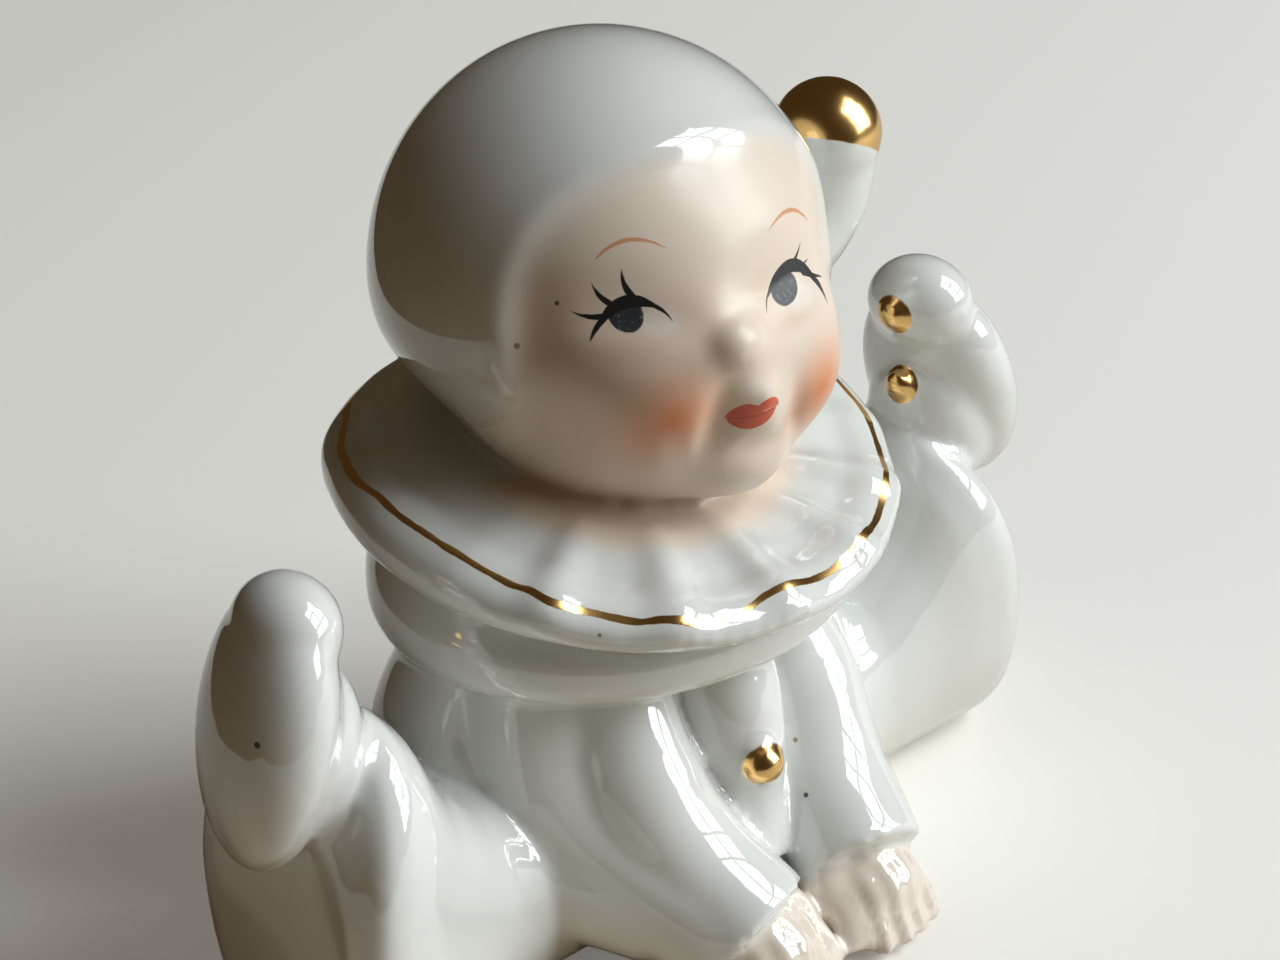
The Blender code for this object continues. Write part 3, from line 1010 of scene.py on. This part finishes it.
# %% Lay the strokes and spots
def stroke(start, middle, end, half_width, taper):
    """One brush stroke: its own coordinates by a Mapping, then the group; gives its paint socket."""
    start, middle, end = Vector(start), Vector(middle), Vector(end)
    centre = (start + end) / 2
    chord = end - start
    turn = math.atan2(chord.y, chord.x)
    side = Vector((-math.sin(turn), math.cos(turn)))
    own = add(tree, "ShaderNodeMapping", vector_type="TEXTURE")
    own.inputs["Location"].default_value = (centre.x, centre.y, 0)
    own.inputs["Rotation"].default_value = (0, 0, turn)
    tree.links.new(picture.outputs[0], own.inputs["Vector"])
    brush = add(tree, "ShaderNodeGroup", node_tree=stroke_group)
    tree.links.new(own.outputs[0], brush.inputs["Place"])
    brush.inputs["Half Length"].default_value = chord.length / 2
    brush.inputs["Half Width"].default_value = half_width
    brush.inputs["Bend"].default_value = (middle - centre).dot(side)
    brush.inputs["Taper"].default_value = taper
    return brush.outputs["Paint"]


def spot(x, z, radius_x, radius_z, hardness):
    """One round spot on the picture of the face."""
    own = add(tree, "ShaderNodeMapping", vector_type="TEXTURE")
    own.inputs["Location"].default_value = (x, z, 0)
    own.inputs["Scale"].default_value = (radius_x, radius_z, 1)
    tree.links.new(picture.outputs[0], own.inputs["Vector"])
    dab = add(tree, "ShaderNodeGroup", node_tree=spot_group)
    tree.links.new(own.outputs[0], dab.inputs["Place"])
    dab.inputs["Hardness"].default_value = hardness
    return dab.outputs["Paint"]


def together(paints):
    """The strongest of several paints, on the face only."""
    whole = paints[0]
    for paint in paints[1:]:
        whole = arithmetic(tree, "MAXIMUM", whole, paint)
    return arithmetic(tree, "MULTIPLY", whole, face_mask)


lashes = together([stroke(*row) for row in LASH_STROKES])
brows = together([stroke(*row) for row in BROW_STROKES])
lips = together([stroke(*row) for row in LIP_STROKES])
lip_line = together([stroke(*row) for row in LIP_LINE])
irises = together([spot(*row, 12.0) for row in IRISES])
blush = together([spot(*row, 1.0) for row in BLUSHES])
painted_crease_shade = together([spot(*row, 1.0) for row in CREASE_SHADE_SPOTS])
painted_highlights = together([spot(*row, 2.0) for row in HIGHLIGHT_SPOTS])
print("painted strokes", len(LASH_STROKES) + len(BROW_STROKES) + len(LIP_STROKES))

# %% [markdown]
# ## The glaze
# A clear hard glaze lies over a white body and over the colours; the face and hands carry a thin,
# slightly duller skin colour. Colours are laid one over the other in the order of the painter.


# %% Colours, one over the other
def over(below, mask, colour, amount=1.0):
    """Lays a colour, given as numbers or a socket, over what is below, where the mask is 1."""
    mix = add(tree, "ShaderNodeMix", data_type="RGBA")
    factor, a, b = mix.inputs[0], mix.inputs[6], mix.inputs[7]
    tree.links.new(arithmetic(tree, "MULTIPLY", mask, amount), factor)
    for socket, value in ((a, below), (b, colour)):
        if isinstance(value, bpy.types.NodeSocket):
            tree.links.new(value, socket)
        else:
            socket.default_value = (*value, 1.0)
    return mix.outputs[2]


BODY_WHITE = (0.74, 0.762, 0.742)
CLOUD_WHITE = (0.71, 0.73, 0.705)
SKIN_CREAM = (0.77, 0.65, 0.54)
# Colour of the painted shade in the creases, partly a brown tint.
SHADE_TAN_COLOUR = (0.70, 0.50, 0.36)
BLUSH_ORANGE = (0.76, 0.24, 0.07)
# Colour of the painted highlights.
HIGHLIGHT_PALE = (0.82, 0.77, 0.72)
BROW_BROWN = (0.62, 0.26, 0.10)
INK = (0.012, 0.012, 0.014)
SPECK_BROWN = (0.30, 0.16, 0.06)
IRIS_GREY = (0.03, 0.034, 0.042)
LIP_RED = (0.60, 0.07, 0.012)
GLINT_GREY = (0.30, 0.33, 0.36)
LIP_DARK = (0.30, 0.04, 0.02)
GOLD = (0.80, 0.50, 0.19)

# %% [markdown]
# The layers go from the white body to the lips. Faint clouds break up the white, the skin colour comes
# next, and the ink of the lashes lies over the irises, as it was painted last.

# %% From the white body to the lips
tone = add(tree, "ShaderNodeTexNoise", "slight clouds in the glaze")
tone.inputs["Scale"].default_value = 90.0
tree.links.new(place.outputs["Object"], tone.inputs["Vector"])
cloud = arithmetic(tree, "MULTIPLY_ADD", tone.outputs["Fac"], 2.0, -0.7, clamp=True)
colour = over(BODY_WHITE, cloud, CLOUD_WHITE, 0.6)
colour = over(colour, skin_mask, SKIN_CREAM, 0.9)
# Painted shade in the creases and round the nose and eyes, partly a brown tint.
colour = over(colour, painted_crease_shade, SHADE_TAN_COLOUR, 0.55)
# Painted highlights beside the irises and on the upper lip.
colour = over(colour, painted_highlights, HIGHLIGHT_PALE, 0.5)
colour = over(colour, blush, BLUSH_ORANGE, 1.0)
colour = over(colour, brows, BROW_BROWN, 0.85)
colour = over(colour, irises, IRIS_GREY)
glints = add(tree, "ShaderNodeTexNoise", "scratchy glints in the irises")
glints.inputs["Scale"].default_value = 2.6
glints.inputs["Detail"].default_value = 4.0
tree.links.new(to_head.outputs[0], glints.inputs["Vector"])
glinting = arithmetic(tree, "MULTIPLY_ADD", glints.outputs["Fac"], 9.0, -5.1, clamp=True)
colour = over(colour, arithmetic(tree, "MULTIPLY", irises, glinting), GLINT_GREY, 0.45)
colour = over(colour, lashes, INK)
colour = over(colour, lips, LIP_RED, 0.95)
colour = over(colour, lip_line, LIP_DARK, 0.6)
print("colour layers so far", sum(n.bl_idname == "ShaderNodeMix" for n in tree.nodes))

# %% [markdown]
# Specks of iron in the clay or dust in the kiln leave small dark dots under the glaze. Each is a ball
# of colour round a point of the skin. The point is snapped to the mesh, so that the dot is really on it.

# %% Specks: a point close by, the radius in mm, and the colour
SPECKS = (
    ((-49.2, -5.3, 39.4), 0.30, INK),
    ((4.0, -18.6, 14.2), 0.24, INK),
    ((5.5, -15.8, 18.5), 0.24, SPECK_BROWN),
    ((-16.4, -8.4, 69.5), 0.20, INK),
    ((-18.9, -5.8, 65.5), 0.28, SPECK_BROWN),
    ((-19.6, -15.6, 41.2), 0.18, SPECK_BROWN),
)
for near, radius, speck_colour in SPECKS:
    found, spot_on_skin, _, _ = pierrot.closest_point_on_mesh(Vector(near) * MM)
    away = add(tree, "ShaderNodeVectorMath", "speck", operation="DISTANCE")
    tree.links.new(place.outputs["Object"], away.inputs[0])
    away.inputs[1].default_value = spot_on_skin
    dot = arithmetic(tree, "LESS_THAN", away.outputs["Value"], radius * MM)
    colour = over(colour, dot, speck_colour, 0.85)
print(len(SPECKS), "specks")

# %% [markdown]
# Bright gold is brushed on the fired glaze and fired once more: a metal film that follows every wave
# below it. So the same mask sets the colour and the Metallic input. Noise makes its border uneven and
# the line thicker and thinner, as the brush ran full or dry.

# %% Gilding
LINE_HALF_WIDTH = 0.16
LINE_SWELL = 0.34
LINE_EDGE = 12.0
PLACE_EDGE = 6.0
gold_noise = add(tree, "ShaderNodeTexNoise", "uneven gold")
gold_noise.inputs["Scale"].default_value = 420.0
tree.links.new(place.outputs["Object"], gold_noise.inputs["Vector"])
line_half = arithmetic(tree, "MULTIPLY_ADD", gold_noise.outputs["Fac"], LINE_SWELL, LINE_HALF_WIDTH)
line_off = arithmetic(tree, "ABSOLUTE", line_attribute.outputs["Fac"])
line_inside = arithmetic(tree, "SUBTRACT", line_half, line_off)
line_paint = arithmetic(tree, "MULTIPLY_ADD", line_inside, LINE_EDGE, 0.5, clamp=True)
on_top = arithmetic(tree, "GREATER_THAN", zone_attribute.outputs["Fac"], 0.5)
line_gold = arithmetic(tree, "MULTIPLY", line_paint, on_top)
uneven = arithmetic(
    tree, "MULTIPLY_ADD", gold_noise.outputs["Fac"], 0.3, gold_attribute.outputs["Fac"]
)
place_gold = arithmetic(tree, "MULTIPLY", uneven, PLACE_EDGE, clamp=True)
gilded = arithmetic(tree, "MAXIMUM", line_gold, place_gold)
colour = over(colour, gilded, GOLD)
tree.links.new(colour, shader.inputs["Base Color"])
tree.links.new(gilded, shader.inputs["Metallic"])

# %% [markdown]
# The glaze is as smooth as glass, with faint waves where it ran. The face was painted over the glaze
# and is duller, and the gold a little. A clear coat would double the gloss of gold and face, so it
# covers only the plain glaze.

# %% Gloss
GLAZE_ROUGHNESS = 0.05
FACE_DULLER = 0.30
GOLD_DULLER = 0.17
above_hands = arithmetic(tree, "GREATER_THAN", head_axes.outputs["Z"], -24.0)
face_dull = arithmetic(tree, "MULTIPLY", skin_mask, above_hands)
skin_dull = arithmetic(tree, "MULTIPLY_ADD", face_dull, FACE_DULLER, GLAZE_ROUGHNESS)
roughness = arithmetic(tree, "MULTIPLY_ADD", gilded, GOLD_DULLER, skin_dull)
tree.links.new(roughness, shader.inputs["Roughness"])
shader.inputs["IOR"].default_value = 1.52
shader.inputs["Coat Roughness"].default_value = 0.03
glossy = arithmetic(tree, "SUBTRACT", 1.0, arithmetic(tree, "MAXIMUM", face_dull, gilded))
tree.links.new(glossy, shader.inputs["Coat Weight"])
ripple = add(tree, "ShaderNodeTexNoise", "faint waves in the glaze")
ripple.inputs["Scale"].default_value = 160.0
ripple.inputs["Detail"].default_value = 1.0
tree.links.new(place.outputs["Object"], ripple.inputs["Vector"])
wave = add(tree, "ShaderNodeBump", "glaze surface")
wave.inputs["Strength"].default_value = 0.10
wave.inputs["Distance"].default_value = 0.0002
tree.links.new(ripple.outputs["Fac"], wave.inputs["Height"])
tree.links.new(wave.outputs[0], shader.inputs["Normal"])
pierrot.data.materials.clear()
pierrot.data.materials.append(glaze)
print(glaze.name, "has", len(tree.nodes), "nodes")

# %% [markdown]
# ## Floor, light and camera
# The ornament stands on a plain pale table. It is bright where it is looked at, but what it throws back
# at the figure is warmer and dimmer, so that the shaded side falls into brown as in the real room. The
# Light Path node tells the two apart.

# %% Table
TABLE_PALE = (0.84, 0.83, 0.79, 1.0)
TABLE_BOUNCE = (0.60, 0.47, 0.32, 1.0)
TABLE_TURN = math.radians(-45)
TABLE_MIDDLE = (0.250, 0.000)
TABLE_SIDE = 0.66
TABLE_GLOW = 0.175
bpy.ops.mesh.primitive_plane_add(
    size=TABLE_SIDE, location=(*TABLE_MIDDLE, 0), rotation=(0, 0, TABLE_TURN)
)
floor = bpy.context.object
floor.name = "floor"
paper = bpy.data.materials.new("pale_floor")
paper.use_nodes = True
paper_shader = paper.node_tree.nodes["Principled BSDF"]
paper_shader.inputs["Base Color"].default_value = TABLE_PALE
paper_shader.inputs["Roughness"].default_value = 0.7
paper_shader.inputs["Emission Color"].default_value = TABLE_PALE
seen = add(paper.node_tree, "ShaderNodeLightPath")
bounce = add(paper.node_tree, "ShaderNodeMix", "warm for what it lights", data_type="RGBA")
bounce.inputs[6].default_value = TABLE_PALE
bounce.inputs[7].default_value = TABLE_BOUNCE
paper.node_tree.links.new(seen.outputs["Is Diffuse Ray"], bounce.inputs[0])
paper.node_tree.links.new(bounce.outputs[2], paper_shader.inputs["Base Color"])
glow = arithmetic(paper.node_tree, "MULTIPLY", seen.outputs["Is Camera Ray"], TABLE_GLOW)
paper.node_tree.links.new(glow, paper_shader.inputs["Emission Strength"])
floor.data.materials.append(paper)
print("table", [round(side, 2) for side in floor.dimensions])

# %% [markdown]
# The light is daylight through a tall window, to the figure's left and in front. A gloss shows what it
# mirrors, so the window is six panes with dark bars between them: three rows of two area lights.

# %% Lights
LIGHT_AIM = Vector((0, 0, 0.045))


def area_light(name, direction, distance, size, power, colour, shift=(0.0, 0.0)):
    """A rectangular light in a direction from the figure, shifted right and up in its own plane."""
    light = bpy.data.lights.new(name, "AREA")
    light.shape = "RECTANGLE"
    light.size, light.size_y = size
    light.energy = power
    light.color = colour
    lamp = bpy.data.objects.new(name, light)
    way = Vector(direction).normalized()
    turn = way.to_track_quat("Z", "Y")
    right, up = turn @ Vector((1, 0, 0)), turn @ Vector((0, 1, 0))
    lamp.location = LIGHT_AIM + way * distance + right * shift[0] + up * shift[1]
    lamp.rotation_euler = turn.to_euler()
    bpy.context.scene.collection.objects.link(lamp)


# %% [markdown]
# Six calls of the same helper hang the panes, two in a row. They are close and of one power each, and
# a cool white, so that the lit side is a little bluer than the table.

# %% The window
WINDOW_WAY = (0.585, -0.665, 0.56)
WINDOW_AWAY = 1.2
PANE = (0.36, 0.36)
PANE_STEP = (0.42, 0.42)
PANE_POWER = 3.5
DAYLIGHT = (0.93, 0.98, 1.0)
for column in (-0.5, 0.5):
    for row in (-1, 0, 1):
        area_light(
            "pane",
            WINDOW_WAY,
            WINDOW_AWAY,
            PANE,
            PANE_POWER,
            DAYLIGHT,
            (column * PANE_STEP[0], row * PANE_STEP[1]),
        )

# %% [markdown]
# The rest of the room is dim and warm. What the camera sees past the table's edge is a plain pale wall,
# which lights nothing: a second background, mixed in for camera rays only.

# %% The room
ROOM_WARM = (0.50, 0.34, 0.18, 1.0)
ROOM_STRENGTH = 0.11
WALL_PALE = (0.56, 0.56, 0.53, 1.0)
world = bpy.data.worlds.new("room")
bpy.context.scene.world = world
world.use_nodes = True
dim_room = world.node_tree.nodes["Background"]
dim_room.inputs["Color"].default_value = ROOM_WARM
dim_room.inputs["Strength"].default_value = ROOM_STRENGTH
wall = add(world.node_tree, "ShaderNodeBackground", "wall")
wall.inputs["Color"].default_value = WALL_PALE
looked_at = add(world.node_tree, "ShaderNodeLightPath")
either = add(world.node_tree, "ShaderNodeMixShader")
world.node_tree.links.new(looked_at.outputs["Is Camera Ray"], either.inputs[0])
world.node_tree.links.new(dim_room.outputs[0], either.inputs[1])
world.node_tree.links.new(wall.outputs[0], either.inputs[2])
world.node_tree.links.new(either.outputs[0], world.node_tree.nodes["World Output"].inputs[0])
bpy.context.scene.view_settings.view_transform = "Standard"

# %% [markdown]
# The camera stands in front, off to the figure's right, and looks down on it from a hand's breadth
# above. Its place and its three axes are written out, because a solved view is exact that way.

# %% Camera
CAMERA_PLACE = (-0.16491, -0.16987, 0.16882)
CAMERA_RIGHT = Vector((0.7072, -0.7067, -0.0216))
CAMERA_UP = Vector((0.3451, 0.3183, 0.8830))
CAMERA_BACK = Vector((-0.6171, -0.6318, 0.4690))
camera = bpy.data.objects.new("camera", bpy.data.cameras.new("camera"))
camera.data.sensor_width = 36.0
camera.data.lens = 80.22
camera.data.clip_start = 0.01
camera.matrix_world = Matrix.Translation(CAMERA_PLACE) @ (
    Matrix((CAMERA_RIGHT, CAMERA_UP, CAMERA_BACK)).transposed().to_4x4()
)
bpy.context.scene.collection.objects.link(camera)
bpy.context.scene.camera = camera
print("camera", round(Vector(CAMERA_PLACE).length, 3), "m from the origin")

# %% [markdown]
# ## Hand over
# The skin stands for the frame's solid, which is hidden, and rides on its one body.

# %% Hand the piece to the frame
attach(pierrot, "root")
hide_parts("pierrot_figurine")
